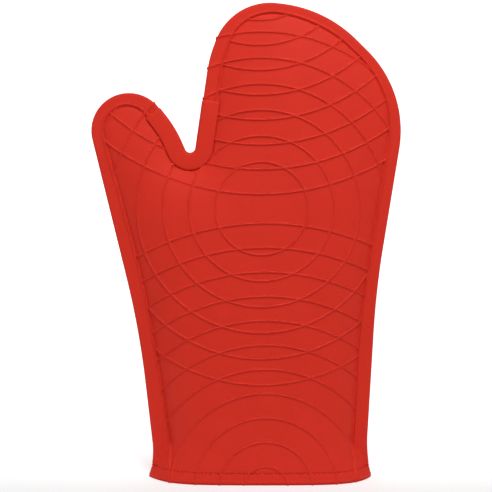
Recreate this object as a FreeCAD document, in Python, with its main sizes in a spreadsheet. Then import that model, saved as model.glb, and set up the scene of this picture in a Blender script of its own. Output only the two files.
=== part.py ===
"""Silicone oven mitt with a sewn-in padded liner, standing on its cuff.

The mitt's length runs up +Z, its width along X with the thumb towards -X, and the palm faces -Y.
The origin is the bottom centre of the bounding box. Each silicone face is moulded as a tray with a
flat flange round it, and the two flanges are bonded on the plane y = 0. The liner follows the
trays inside: wadding, then a cotton lining, held at the cuff by a row of stitches.

The outline is a belt of straights tangent to a chain of circles. A belt inset by some distance is
the same chain, each convex radius smaller and each concave radius larger by that distance.

The mitt flexes on two fold lines, across the knuckles and across the thumb, so every long piece is
divided there into a hand, a finger and a thumb length, each of which turns as one rigid body.
"""

import FreeCAD
import Part
import Sketcher
import math
import os

# Outline circles from the cuff's left end, over the thumb and fingers, to the cuff's right end:
# name, centre x, centre z, radius, then +1 where the edge bulges out or -1 where it hollows in.
OUTLINE = [
    ("cuff_left", -118.7, 17.4, 54.7, -1),
    ("side_left", -639.0, -0.4, 573.5, -1),
    ("thumb_tip", -80.3, 237.5, 25.9, 1),
    ("thumb_inner", -121.0, 196.1, 83.5, 1),
    ("crotch", -38.4, 226.1, 4.2, -1),
    ("finger_inner", 61.6, 264.7, 89.3, 1),
    ("finger_tip", 16.6, 285.2, 40.0, 1),
    ("crown", 14.8, 238.7, 86.4, 1),
    ("shoulder", 28.9, 237.4, 77.4, 1),
    ("side_right", 664.4, 64.9, 577.6, -1),
    ("cuff_right", 190.1, 23.6, 106.6, -1),
]

# Driving dimensions, in millimetres and degrees. A depth is measured from the bonding plane.
SIZES = {
    "flange_width": 7.8,
    "flange_thick": 2.0,
    "bead_width": 1.6,
    "bead_height": 0.9,
    "depth_cuff": 25.0,  # of the palm face at the cuff
    "palm_tilt": 2.1,  # lean of the palm face towards the bonding plane at the fingertips
    "slope_run": 12.0,  # width of the sloping side between the flange and the palm face
    "palm_round": 8.6,  # rounding where the sloping side meets the palm face
    "side_share": 1.25,  # how far a layer moves in at the bonding plane, per mm below the face
    "top_share": 0.45,  # the same at the edge of the palm face
    "wall": 1.6,
    "wadding_face": 1.8,  # depths of the liner's faces below the silicone's outer face
    "wadding_back": 5.0,
    "lining_face": 5.2,
    "lining_back": 6.0,
    "tape_back": 6.8,
    "cut_run": 5.0,  # how far a hollow is cut past the open cuff
    "wadding_foot": 13.0,  # the wadding stops above the stitched hem
    "lining_foot": 2.5,
    "tape_top": 16.0,
    "seam_tape_width": 2.6,
    "seam_tape_thick": 0.9,
    "seam_tape_clear": 1.7,  # from the bottom of the seam, where the linings close in
    "guard_thick": 1.4,  # crotch guard above the flange
    "guard_lap": 0.5,  # crotch guard past the mitt's edge
    "guard_width": 10.3,
    "stitch_height": 8.2,
    "stitch_start": -40.0,
    "stitch_pitch": 2.75,
    "stitch_count": 36,
    "stitch_length": 1.9,
    "thread_radius": 0.35,
    "groove_width": 1.0,
    "groove_run": 1.5,  # past the first and last stitch
    "fold_gap": 0.4,
    "finger_fold": 242.0,
    "thumb_fold": 15.0,  # from the bottom of the crotch to the thumb's fold line
    "thumb_lean": 42.0,  # of the thumb's fold line above the horizontal
    "reach": 200.0,  # a cutting block's size, past everything it cuts
}

# Corners of the stretch of edge that the crotch guard covers, as x and z, anticlockwise.
GUARD_CORNERS = [
    (-78.0, 243.7),
    (-60.0, 205.0),
    (-5.0, 205.0),
    (-5.0, 258.0),
    (-35.0, 259.8),
    (-50.0, 272.0),
]

X_AXIS = FreeCAD.Vector(1, 0, 0)
Y_AXIS = FreeCAD.Vector(0, 1, 0)

doc = FreeCAD.newDocument("oven_mitt")
sheet = doc.addObject("Spreadsheet::Sheet", "Sizes")


def add_cell(row, alias, value):
    """One driving dimension: its name, its value and the alias that expressions use."""
    sheet.set("A%d" % row, alias)
    sheet.set("B%d" % row, str(value))
    sheet.setAlias("B%d" % row, alias)


def fill_sheet():
    """All driving dimensions, and three for each circle of the outline."""
    cells = list(SIZES.items())
    for name, x, z, radius, _ in OUTLINE:
        cells += [(name + "_x", x), (name + "_z", z), (name + "_radius", radius)]
    for row, (alias, value) in enumerate(cells, start=1):
        add_cell(row, alias, value)
    doc.recompute()


def cell(alias):
    """A dimension's value, for the places where a sketch is first drawn."""
    return float(getattr(sheet, alias))


def bind(obj, prop, expression):
    """Tie a property to the sheet. Aliases stand between angle brackets: <wall> + <layer_gap>."""
    obj.setExpression(prop, expression.replace("<", "Sizes.").replace(">", ""))


def value_of(expression):
    """The number that an expression of aliases, written as for bind, comes to now."""
    terms = expression.replace("-", "+-").split("+")
    total = 0.0
    for term in terms:
        product = 1.0
        for factor in term.split("*"):
            factor = factor.strip()
            if factor.startswith("-"):
                product = -product
                factor = factor[1:].strip()
            if factor.startswith("<"):
                product *= cell(factor[1:-1])
            elif factor:
                product *= float(factor)
        total += product if term.strip() else 0.0
    return total


def plane_of(body, role):
    """The body's own origin plane with this role."""
    return next(plane for plane in body.Origin.OriginFeatures if plane.Role == role)


def new_sketch(body, name, role="XZ_Plane"):
    """An empty sketch on one of the body's own origin planes."""
    sketch = body.newObject("Sketcher::SketchObject", name)
    sketch.AttachmentSupport = [(plane_of(body, role), "")]
    sketch.MapMode = "FlatFace"
    return sketch


def tangent_points(first, second):
    """Where the belt leaves one circle and reaches the next. A circle is (x, z, signed radius)."""
    run_x = second[0] - first[0]
    run_z = second[1] - first[1]
    length = math.hypot(run_x, run_z)
    along = (first[2] - second[2]) / length
    across = math.sqrt(1 - along**2)
    normal_x = (along * run_x - across * run_z) / length
    normal_z = (along * run_z + across * run_x) / length
    return [(x + r * normal_x, z + r * normal_z) for x, z, r in (first, second)]


def draw_belt(sketch, inset, foot):
    """Draw the closed outline, moved in by inset and cut off level at the height foot."""
    moved = value_of(inset)
    level = value_of(foot)
    belt = []
    for name, _, _, _, side in OUTLINE:
        radius = side * cell(name + "_radius") - moved
        belt.append((cell(name + "_x"), cell(name + "_z"), radius))
    first = belt[0]
    last = belt[-1]
    start = (first[0] + math.sqrt(first[2] ** 2 - (level - first[1]) ** 2), level)
    finish = (last[0] - math.sqrt(last[2] ** 2 - (level - last[1]) ** 2), level)
    marks = [start]
    for here, after in zip(belt, belt[1:]):
        marks += tangent_points(here, after)
    marks.append(finish)

    arcs = []
    lines = []
    for order, (x, z, radius) in enumerate(belt):
        enter = marks[2 * order]
        leave = marks[2 * order + 1]
        ends = (leave, enter) if radius > 0 else (enter, leave)
        angles = [math.atan2(end[1] - z, end[0] - x) for end in ends]
        circle = Part.Circle(FreeCAD.Vector(x, z, 0), FreeCAD.Vector(0, 0, 1), abs(radius))
        arcs.append(sketch.addGeometry(Part.ArcOfCircle(circle, angles[0], angles[1])))
    for order in range(len(belt) - 1):
        leave = FreeCAD.Vector(*marks[2 * order + 1], 0)
        reach = FreeCAD.Vector(*marks[2 * order + 2], 0)
        lines.append(sketch.addGeometry(Part.LineSegment(leave, reach)))
    base = Part.LineSegment(FreeCAD.Vector(*finish, 0), FreeCAD.Vector(*start, 0))
    base_line = sketch.addGeometry(base)

    def enter_end(order):
        return 2 if belt[order][2] > 0 else 1

    def leave_end(order):
        return 1 if belt[order][2] > 0 else 2

    for order, line in enumerate(lines):
        tangent = Sketcher.Constraint("Tangent", arcs[order], leave_end(order), line, 1)
        sketch.addConstraint(tangent)
        following = Sketcher.Constraint("Tangent", line, 2, arcs[order + 1], enter_end(order + 1))
        sketch.addConstraint(following)
    sketch.addConstraint(Sketcher.Constraint("Coincident", arcs[-1], leave_end(-1), base_line, 1))
    sketch.addConstraint(Sketcher.Constraint("Coincident", base_line, 2, arcs[0], enter_end(0)))
    sketch.addConstraint(Sketcher.Constraint("Horizontal", base_line))
    constrain(sketch, Sketcher.Constraint("DistanceY", -1, 1, base_line, 2, level), foot)
    for arc, (name, _, _, _, side), (x, z, radius) in zip(arcs, OUTLINE, belt):
        centre_x = Sketcher.Constraint("DistanceX", -1, 1, arc, 3, x)
        centre_z = Sketcher.Constraint("DistanceY", -1, 1, arc, 3, z)
        size = Sketcher.Constraint("Radius", arc, abs(radius))
        constrain(sketch, centre_x, "<%s_x>" % name)
        constrain(sketch, centre_z, "<%s_z>" % name)
        sign = "-" if side > 0 else "+"
        constrain(sketch, size, "<%s_radius> %s (%s)" % (name, sign, inset))


def constrain(sketch, constraint, expression):
    """Add a dimension to a sketch and tie it to the sheet."""
    index = sketch.addConstraint(constraint)
    bind(sketch, "Constraints[%d]" % index, expression)


def draw_polygon(sketch, corners):
    """Draw a closed outline of straights, its corners held where they are."""
    points = [FreeCAD.Vector(x, z, 0) for x, z in corners]
    sides = []
    for here, after in zip(points, points[1:] + points[:1]):
        sides.append(sketch.addGeometry(Part.LineSegment(here, after)))
    for here, after in zip(sides, sides[1:] + sides[:1]):
        sketch.addConstraint(Sketcher.Constraint("Coincident", here, 2, after, 1))
    for side, (x, z) in zip(sides, corners):
        sketch.addConstraint(Sketcher.Constraint("DistanceX", -1, 1, side, 1, x))
        sketch.addConstraint(Sketcher.Constraint("DistanceY", -1, 1, side, 1, z))


def slab(name, inset, foot, thick, both_ways=False):
    """The outline as a flat plate, from the bonding plane towards the palm or to both sides."""
    body = doc.addObject("PartDesign::Body", name)
    sketch = new_sketch(body, name + "_outline")
    draw_belt(sketch, inset, foot)
    pad = body.newObject("PartDesign::Pad", name + "_pad")
    pad.Profile = sketch
    pad.Midplane = both_ways
    bind(pad, "Length", thick)
    return body


def pillow(name, sunk, foot):
    """The space under the palm-side face of one layer, sunk below the silicone's outer face."""
    body = doc.addObject("PartDesign::Body", name)
    lower = new_sketch(body, name + "_lower")
    draw_belt(lower, "<flange_width> + <side_share> * %s" % sunk, foot)
    upper = new_sketch(body, name + "_upper")
    draw_belt(upper, "<flange_width> + <slope_run> + <top_share> * %s" % sunk, foot)
    lean = FreeCAD.Rotation(X_AXIS, -cell("palm_tilt"))
    upper.AttachmentOffset = FreeCAD.Placement(FreeCAD.Vector(0, 0, 1), lean)
    bind(upper, "AttachmentOffset.Base.z", "<depth_cuff> - %s" % sunk)
    loft = body.newObject("PartDesign::AdditiveLoft", name + "_loft")
    loft.Profile = lower
    loft.Sections = [upper]
    loft.Ruled = True
    doc.recompute()
    edges = face_edges(loft, value_of("<depth_cuff> - %s" % sunk))
    fillet = body.newObject("PartDesign::Fillet", name + "_round")
    fillet.Base = (loft, edges)
    bind(fillet, "Radius", "<palm_round> - %s" % sunk)
    body.Tip = fillet
    return body


def face_edges(loft, depth):
    """The edges round the palm-side face, apart from the one at the open cuff."""
    lean = math.tan(math.radians(cell("palm_tilt")))
    tolerance = 0.05
    names = []
    for order, edge in enumerate(loft.Shape.Edges, start=1):
        ends = [vertex.Point for vertex in edge.Vertexes]
        on_face = all(abs(-end.y - (depth - lean * end.z)) < tolerance for end in ends)
        level = abs(ends[0].z - ends[-1].z) < tolerance and ends[0].z < cell("wadding_foot") + 1
        if on_face and not level:
            names.append("Edge%d" % order)
    return names


def cut(name, base, tool):
    result = doc.addObject("Part::Cut", name)
    result.Base = base
    result.Tool = tool
    return result


def common(name, base, tool):
    result = doc.addObject("Part::Common", name)
    result.Base = base
    result.Tool = tool
    return result


def fuse(name, *shapes):
    result = doc.addObject("Part::MultiFuse", name)
    result.Shapes = list(shapes)
    result.Refine = True
    return result


def mirrored(name, source):
    """The same shape on the back of the hand."""
    result = doc.addObject("Part::Mirroring", name)
    result.Source = source
    result.Normal = Y_AXIS
    return result


def block(name, size, corner):
    """A box from three lengths and its lowest corner, all as expressions."""
    box = doc.addObject("Part::Box", name)
    for prop, expression in zip(("Length", "Width", "Height"), size):
        bind(box, prop, expression)
    for axis, expression in zip("xyz", corner):
        bind(box, "Placement.Base." + axis, expression)
    return box


def half_plate(name, inset, foot, thick):
    """A flat plate as slab makes it, for cutting: the same outline on both sides of y = 0."""
    return slab(name, inset, foot, thick, both_ways=True)


def build_shells():
    """The two silicone trays, each with its flange, bead and stitch groove."""
    skin = pillow("palm_skin", "0", "-1 * <cut_run>")
    hollow = pillow("palm_hollow", "<wall>", "-1 * <cut_run>")
    flange = slab("palm_flange", "0", "0", "<flange_thick>")
    bead = slab("palm_bead", "<flange_width> - <bead_width>", "0", "<flange_thick> + <bead_height>")
    tray = fuse("palm_tray", skin, flange, bead)
    groove_size = (
        "(<stitch_count> - 1) * <stitch_pitch> + <stitch_length> + 2 * <groove_run>",
        "2 * <thread_radius> + <wall>",
        "<groove_width>",
    )
    groove_corner = (
        "<stitch_start> - <groove_run>",
        "-1 * %s - <wall>" % STITCH_DEPTH,
        "<stitch_height> - <groove_width> / 2",
    )
    groove = block("palm_groove", groove_size, groove_corner)
    below_cuff = block(
        "below_cuff",
        ("2 * <reach>", "2 * <reach>", "<reach>"),
        ("-1 * <reach>", "-1 * <reach>", "-1 * <reach>"),
    )
    palm_shell = cut("palm_shell", tray, fuse("palm_removed", hollow, groove, below_cuff))
    return tray, palm_shell


def build_layer(name, face, back, foot):
    """One layer of the liner on the palm side, between two depths."""
    outer = pillow(name + "_outer", face, foot)
    inner = pillow(name + "_inner", back, "-1 * <cut_run>")
    return cut(name, outer, inner)


def build_cuff_tape():
    """The woven tape that faces the cuff, one loop over both linings' lower edges."""
    ring = build_layer("palm_tape", "<lining_back>", "<tape_back>", "<lining_foot>")
    loop = fuse("tape_loop", ring, mirrored("back_tape", ring))
    band = block(
        "tape_band",
        ("2 * <reach>", "2 * <reach>", "<tape_top>"),
        ("-1 * <reach>", "-1 * <reach>", "0"),
    )
    return common("cuff_tape", loop, band)


def build_seam_tape():
    """The tape over the seam inside the mitt, where the two linings meet."""
    edge = "<flange_width> + <side_share> * <lining_back> + <seam_tape_clear>"
    plate = half_plate("seam_plate", edge, "<tape_top>", "<seam_tape_width>")
    middle = half_plate("seam_middle", edge + " + <seam_tape_thick>", "-1 * <cut_run>",
                        "2 * <seam_tape_width>")
    return cut("seam_tape", plate, middle)


def build_crotch_guard(tray):
    """The thick strip that wraps the bonded edge between the thumb and the fingers."""
    plate = half_plate("guard_plate", "-1 * <guard_lap>", "0",
                       "2 * (<flange_thick> + <guard_thick>)")
    middle = half_plate("guard_middle", "<guard_width> - <guard_lap>", "-1 * <cut_run>",
                        "2 * <depth_cuff>")
    trays = fuse("guard_removed", tray, mirrored("back_tray", tray), middle)
    stretch = doc.addObject("PartDesign::Body", "guard_stretch")
    corners = new_sketch(stretch, "guard_corners")
    draw_polygon(corners, GUARD_CORNERS)
    pad = stretch.newObject("PartDesign::Pad", "guard_stretch_pad")
    pad.Profile = corners
    pad.Midplane = True
    bind(pad, "Length", "2 * <depth_cuff>")
    return common("crotch_guard", cut("guard_strip", plate, trays), stretch)


def build_stitches():
    """One row of thread stitches lying in the palm shell's groove."""
    body = doc.addObject("PartDesign::Body", "palm_stitches")
    sketch = new_sketch(body, "thread", "YZ_Plane")
    bind(sketch, "AttachmentOffset.Base.z", "<stitch_start>")
    depth = cell("depth_cuff")
    centre = FreeCAD.Vector(-depth, cell("stitch_height"), 0)
    radius = cell("thread_radius")
    thread = sketch.addGeometry(Part.Circle(centre, FreeCAD.Vector(0, 0, 1), radius))
    across = Sketcher.Constraint("DistanceX", thread, 3, -1, 1, depth)
    upward = Sketcher.Constraint("DistanceY", -1, 1, thread, 3, centre.y)
    constrain(sketch, across, "%s - <thread_radius>" % STITCH_DEPTH)
    constrain(sketch, upward, "<stitch_height>")
    constrain(sketch, Sketcher.Constraint("Radius", thread, radius), "<thread_radius>")
    pad = body.newObject("PartDesign::Pad", "stitch")
    pad.Profile = sketch
    bind(pad, "Length", "<stitch_length>")
    doc.recompute()
    row = body.newObject("PartDesign::LinearPattern", "stitch_row")
    row.Originals = [pad]
    row.Direction = (sketch, ["N_Axis"])
    bind(row, "Length", "(<stitch_count> - 1) * <stitch_pitch>")
    bind(row, "Occurrences", "<stitch_count>")
    body.Tip = row
    return body


def build_zones():
    """The blocks that divide a long piece: what the hand gives up, then each length's own block."""
    wide = "2 * <reach>"
    blocks = {}
    for use, gap in (("far", "<fold_gap> / 2"), ("near", "-1 * <fold_gap> / 2")):
        fingers = block(
            "fingers_" + use,
            ("<reach>", wide, "<reach>"),
            ("<crotch_x>", "-1 * <reach>", "<finger_fold> + " + gap),
        )
        run = "(<thumb_fold> + %s)" % gap
        past_fold = block(
            "thumb_fold_" + use,
            (wide, wide, "<reach>"),
            (
                "<crotch_x> - %s * sin(<thumb_lean>) - <reach> * cos(<thumb_lean>)" % run,
                "-1 * <reach>",
                "<crotch_z> - <crotch_radius> + %s * cos(<thumb_lean>)"
                " - <reach> * sin(<thumb_lean>)" % run,
            ),
        )
        past_fold.Placement.Rotation = FreeCAD.Rotation(Y_AXIS, -cell("thumb_lean"))
        beside = block(
            "thumb_side_" + use,
            ("<reach>", wide, wide),
            ("<crotch_x> - <reach>", "-1 * <reach>", "0"),
        )
        blocks[use] = (fingers, common("thumb_" + use, past_fold, beside))
    given_up = fuse("past_both_folds", *blocks["near"])
    return given_up, blocks["far"][0], blocks["far"][1]


def divide(piece, zones):
    """A long piece as three sub-parts, parted at the two fold lines."""
    given_up, fingers, thumb = zones
    name = piece.Name
    return [
        cut(name + "_hand", piece, given_up),
        common(name + "_fingers", piece, fingers),
        common(name + "_thumb", piece, thumb),
    ]


def check_sound(parts):
    """Stop if any object failed, or if a sub-part isn't the sound closed solids it should be."""
    for thing in doc.Objects:
        if "Invalid" in thing.State or "Error" in thing.State:
            raise RuntimeError("%s is %s" % (thing.Name, thing.State))
    for part in parts:
        shape = part.Shape
        if shape.isNull() or not shape.isValid() or shape.Volume <= 0:
            raise RuntimeError("%s has no sound shape" % part.Name)
        if len(shape.Solids) != SOLIDS.get(part.Name, 1):
            raise RuntimeError("%s has %d solids" % (part.Name, len(shape.Solids)))


# Sub-parts of more than one solid. In the hand the seam tape runs up both sides and round the crotch.
SOLIDS = {
    "palm_stitches": SIZES["stitch_count"],
    "back_stitches": SIZES["stitch_count"],
    "seam_tape_hand": 3,
}
# Depth of the palm face at the height of the stitches.
STITCH_DEPTH = "(<depth_cuff> - <stitch_height> * tan(<palm_tilt>))"

fill_sheet()
palm_tray, palm_shell = build_shells()
palm_wadding = build_layer("palm_wadding", "<wadding_face>", "<wadding_back>", "<wadding_foot>")
palm_lining = build_layer("palm_lining", "<lining_face>", "<lining_back>", "<lining_foot>")
cuff_tape = build_cuff_tape()
seam_tape = build_seam_tape()
crotch_guard = build_crotch_guard(palm_tray)
palm_stitches = build_stitches()

long_pieces = [seam_tape, crotch_guard]
for palm_piece in (palm_shell, palm_wadding, palm_lining):
    back_piece = mirrored(palm_piece.Name.replace("palm", "back"), palm_piece)
    long_pieces += [palm_piece, back_piece]
zones = build_zones()
sub_parts = [cuff_tape, palm_stitches, mirrored("back_stitches", palm_stitches)]
for long_piece in long_pieces:
    sub_parts += divide(long_piece, zones)

doc.recompute()
check_sound(sub_parts)
os.makedirs("parts", exist_ok=True)
for sub_part in sub_parts:
    sub_part.Label = sub_part.Name
    sub_part.Shape.exportStep("parts/%s.step" % sub_part.Label)
    print("%-24s %10.1f mm3" % (sub_part.Label, sub_part.Shape.Volume))
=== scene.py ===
import math

import bpy
import numpy as np
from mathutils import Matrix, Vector
from mathutils.bvhtree import BVHTree
from mathutils.geometry import delaunay_2d_cdt
from mathutils.kdtree import KDTree


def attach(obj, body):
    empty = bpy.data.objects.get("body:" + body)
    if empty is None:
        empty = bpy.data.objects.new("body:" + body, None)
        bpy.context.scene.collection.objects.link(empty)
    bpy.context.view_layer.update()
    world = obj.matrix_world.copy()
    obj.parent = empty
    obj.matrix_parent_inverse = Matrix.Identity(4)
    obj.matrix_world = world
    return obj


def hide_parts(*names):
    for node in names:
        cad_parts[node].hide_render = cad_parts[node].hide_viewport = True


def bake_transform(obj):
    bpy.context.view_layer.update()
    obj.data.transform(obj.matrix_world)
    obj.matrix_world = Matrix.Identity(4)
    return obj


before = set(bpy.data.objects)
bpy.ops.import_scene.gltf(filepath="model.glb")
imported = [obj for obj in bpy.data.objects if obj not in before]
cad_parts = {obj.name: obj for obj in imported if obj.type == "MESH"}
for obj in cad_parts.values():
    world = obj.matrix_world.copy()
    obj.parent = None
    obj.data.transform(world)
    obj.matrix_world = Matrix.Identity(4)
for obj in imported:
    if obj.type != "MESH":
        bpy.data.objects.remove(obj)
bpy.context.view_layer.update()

# Everything below is worked out in millimetres, x across the mitt and z up its length, and turned
# into metres when a mesh is made. The palm faces -y, and the back is the palm's mirror image.
MM = 0.001
HALVES = (("palm", 1), ("back", -1))  # each half's name, and 1 or -1 to mirror it along y

# Outline circles from the cuff's left end, over the thumb and fingers, to the cuff's right end:
# centre x, centre z, radius, then +1 where the edge bulges out or -1 where it hollows in.
OUTLINE = [
    (-118.7, 17.4, 54.7, -1),  # cuff's left flare
    (-639.0, -0.4, 573.5, -1),  # left side
    (-80.3, 237.5, 25.9, 1),  # thumb tip
    (-121.0, 196.1, 83.5, 1),  # thumb's inner side
    (-38.4, 226.1, 4.2, -1),  # crotch
    (61.6, 264.7, 89.3, 1),  # fingers' inner side
    (16.6, 285.2, 40.0, 1),  # finger tip
    (14.8, 238.7, 86.4, 1),  # crown
    (28.9, 237.4, 77.4, 1),  # shoulder
    (664.4, 64.9, 577.6, -1),  # right side
    (190.1, 23.6, 106.6, -1),  # cuff's right flare
]

# How far in from the edge the raised bead runs, at lengths along the edge from the cuff's left end.
BEAD_LINE = np.array([
    (0, 15.5), (10, 12.6), (25, 11.4), (90, 9.2), (160, 9.5), (236, 7.6), (275, 7.7), (303, 9.2),
    (309, 10.2), (382, 10.2), (387, 9.1), (425, 8.9), (458, 7.2), (482, 6.5), (510, 7.2),
    (550, 6.4), (590, 6.8), (618, 7.7), (700, 7.5), (768, 9.5), (818, 8.8), (838, 10.2),
    (851, 12.6),
])
BEAD_HALF = 1.0
BEAD_HEIGHT = 0.9
CREASE = 1.6  # from the bead's middle to the crease inside it
CREASE_HALF = 0.65
CREASE_DEEP = 0.5

# Families of concentric ribs: centre x, centre z, first radius, step between ribs, count.
RIB_FAMILIES = [
    (10.6, 184.2, 31.9, 17.86, 6),
    (9.1, 366.2, 52.9, 17.04, 8),
    (13.7, -8.7, 15.4, 16.73, 11),
]
# Ribs of the first family that run on over the rim: number in the family, length along the edge.
WRAPPED_RIBS = [(4, 300.7), (3, 385.7), (4, 407.4), (5, 428.1)]
# The pattern closes in towards this point where the skin bulges, by its depth over this distance.
PATTERN_CENTRE = np.array([0.0, 158.4])
PATTERN_DISTANCE = 610.0
RIB_HALF = 0.9
RIB_HEIGHT = 0.85

HEIGHT = 325.0
DEPTH_CUFF = 25.0  # of one half, as DEPTH_TIP is
DEPTH_TIP = 9.0
RIM = 2.0  # thickness of one half's flat rim
RIM_ROUND = 1.5
RIM_HOLD = 4000  # how firmly the rim is kept flat
EDGE_HOLD = 1e6
WALL = 1.6
SLANT = 1.12  # a layer's depth along y over its thickness, where the skin slopes
OPEN_HEIGHT = 26.0  # above this the mouth's opening no longer spreads the rim
SOLVE_TURNS = 1500
SOLVE_SHARE = 1e-12  # the share of the first error at which the skin's shape is settled

# The cuff's lip: its rounded lower edge, then a groove and a roll, as middle height, half width
# and how deep or high.
LIP_ROUND = 1.3
LIP_SHARE = 0.7  # the most of a half's depth that the rounding takes
LIP_GROOVE = (1.0, 0.8, 0.8)
LIP_ROLL = (2.4, 1.1, 0.4)

GUARD_SPAN = (307.0, 384.6)  # the crotch guard's ends, as lengths along the edge
GUARD_REACH = 11.8
GUARD_THICK = 1.4
GUARD_LAP = 0.6
GUARD_SOFT = 0.9  # radius of its rounded long edges
GUARD_END = 1.5  # how far from its ends it starts to round down

STITCH_HEIGHT = 8.0
STITCH_PITCH = 2.75
STITCH_LENGTH = 1.5
STITCH_SUNK = 0.5  # how deep in the silicone a stitch lies
STITCH_BOW = 0.12
THREAD_RADIUS = 0.3
THREAD_SIDES = 8
HEM_GROOVE = (0.05, 0.6)  # depth, then width
HOLE_DEPTH = 0.9
HOLE_SIZE = (0.6, 0.75)  # along the row and across it

CROTCH = np.array([-38.4, 221.9])  # the lowest point between thumb and fingers
CROTCH_SPAN = (325.0, 365.0)  # the stretch of edge round it, as lengths along the edge
THUMB_ALONG = np.array([-0.669, 0.743])  # across the thumb's fold, towards the thumb tip

SEAM_INSET = (3.0, 3.5)  # the linings' seam inside the panel's foot: at the cuff, then this more
LINING_HEM = 1.9  # how far inside the skin the lining lies at the hem
LINING_OUT = 5.2  # and above it, behind the wadding
LINING_THICK = 0.8
LINING_ROLL = 6.0  # the width over which the lining turns in towards its seam
ROLL_ROWS_TOP = 22.0  # below this the lining has extra rows of points to turn on
WADDING_OUT = 1.8
WADDING_PUFF = 3.6  # its greatest thickness
WADDING_PAST = 1.5  # how far it runs on beyond the lining's seam
QUILT_PITCH = 26.0
TAPE_THICK = 0.7
TAPE_INSET = 2.0  # from the linings' seam
TAPE_HALF = 2.4
TAPE_FOOT = 20.0  # its ends, as lengths along the edge from the cuff
BINDING_LEVELS = (3.0, 3.6, 6.0, 8.0, 10.0, 12.5, 15.4, 16.0)
BINDING_GAP = 0.9  # between the binding and the lining
BINDING_SIDE = 1.3  # the same at either end of the mouth
BINDING_COLUMNS = 61


def smooth(share):
    share = np.clip(share, 0, 1)
    return share * share * (3 - 2 * share)


def bump(share):
    """A rounded ridge's height across it, 1 at share 0 and 0 from share 1 on."""
    return np.clip(1 - share**2, 0, 1) ** 1.5


def doubled_area(corners):
    """Twice each flat triangle's area, below 0 where its corners run clockwise."""
    side, other = corners[:, 1] - corners[:, 0], corners[:, 2] - corners[:, 0]
    return side[:, 0] * other[:, 1] - side[:, 1] * other[:, 0]


def tree_of(points):
    tree = KDTree(len(points))
    for i, (x, z) in enumerate(points):
        tree.insert((x, z, 0), i)
    tree.balance()
    return tree


# ---------------------------------------------------------------- outline

def tangent_points(first, second):
    """Where the straight line joining two outline circles leaves the first and meets the second."""
    start, end = np.array(first[:2]), np.array(second[:2])
    gap = np.hypot(*(end - start))
    along = (end - start) / gap
    reach, next_reach = first[3] * first[2], second[3] * second[2]
    lean = (reach - next_reach) / gap
    normal = lean * along + math.sqrt(1 - lean**2) * np.array([-along[1], along[0]])
    return start + reach * normal, end + next_reach * normal


def trace_outline(step):
    """Points along the mitt's edge, and the direction into the mitt at each."""
    first, last = OUTLINE[0], OUTLINE[-1]
    marks = [np.array([first[0] + math.sqrt(first[2] ** 2 - first[1] ** 2), 0.0])]
    for here, ahead in zip(OUTLINE, OUTLINE[1:]):
        marks += tangent_points(here, ahead)
    marks.append(np.array([last[0] - math.sqrt(last[2] ** 2 - last[1] ** 2), 0.0]))
    points, inward = [], []
    for i, (x, z, radius, side) in enumerate(OUTLINE):
        centre = np.array([x, z])
        enter, leave = marks[2 * i] - centre, marks[2 * i + 1] - centre
        begin = math.atan2(enter[1], enter[0])
        sweep = (side * (begin - math.atan2(leave[1], leave[0]))) % (2 * math.pi)
        count = max(2, math.ceil(radius * sweep / step))
        angle = begin - side * np.arange(count) * sweep / count
        ray = np.stack([np.cos(angle), np.sin(angle)], 1)
        points.append(centre + radius * ray)
        inward.append(-side * ray)
        if i + 1 < len(OUTLINE):
            start, end = marks[2 * i + 1], marks[2 * i + 2]
            length = np.hypot(*(end - start))
            count = max(1, math.ceil(length / step))
            along = (end - start) / length
            points.append(start + np.arange(count)[:, None] * (end - start) / count)
            inward.append(np.tile([along[1], -along[0]], (count, 1)))
    points.append(marks[-1][None])
    inward.append(inward[-1][-1:])
    return np.vstack(points), np.vstack(inward)


EDGE, INWARD = trace_outline(0.25)
LENGTHS = np.append(0, np.cumsum(np.hypot(*np.diff(EDGE, axis=0).T)))
EDGE_TREE = tree_of(EDGE)


def inward_at(lengths):
    way = np.stack([np.interp(lengths, LENGTHS, INWARD[:, k]) for k in (0, 1)], 1)
    return way / np.hypot(*way.T)[:, None]


def on_edge(lengths, inset=0.0):
    """Points at these lengths along the edge, moved into the mitt by inset."""
    place = np.stack([np.interp(lengths, LENGTHS, EDGE[:, k]) for k in (0, 1)], 1)
    return place + np.reshape(inset, (-1, 1)) * inward_at(lengths)


def edge_place(points):
    """For each point, how far it is in from the edge and the length along the edge beside it."""
    nearest = np.array([EDGE_TREE.find((x, z, 0))[1] for x, z in points])
    offset = points - EDGE[nearest]
    way = INWARD[nearest]
    inset = (offset * way).sum(1)
    length = LENGTHS[nearest] + offset[:, 1] * way[:, 0] - offset[:, 0] * way[:, 1]
    return inset, np.clip(length, 0, LENGTHS[-1])


def bead_inset(lengths):
    return np.interp(lengths, BEAD_LINE[:, 0], BEAD_LINE[:, 1])


def foot_inset(lengths, heights):
    """How far in from the edge the panel starts to rise. Near the cuff the rim is drawn open."""
    return (bead_inset(lengths) + CREASE) * smooth(heights / OPEN_HEIGHT)


def beyond_fold(points):
    """How far each point is past the thumb's fold, towards the thumb tip."""
    return (points - CROTCH) @ THUMB_ALONG


def on_thumb(points):
    return (beyond_fold(points) > 0) & (points[:, 0] < CROTCH[0])


def fold_crossings(inset):
    """The lengths along the edge where the line that inset(lengths) gives crosses the fold."""
    lengths = np.arange(60, 400, 0.2)
    line = on_edge(lengths, inset(lengths))
    past = beyond_fold(line)
    found = []
    for i in np.nonzero(np.diff(np.sign(past)))[0]:
        if line[i, 0] < CROTCH[0] + 0.3:
            share = past[i] / (past[i] - past[i + 1])
            found.append(lengths[i] + share * (lengths[i + 1] - lengths[i]))
    return found[0], found[-1]


# ---------------------------------------------------------------- skin shape

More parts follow.
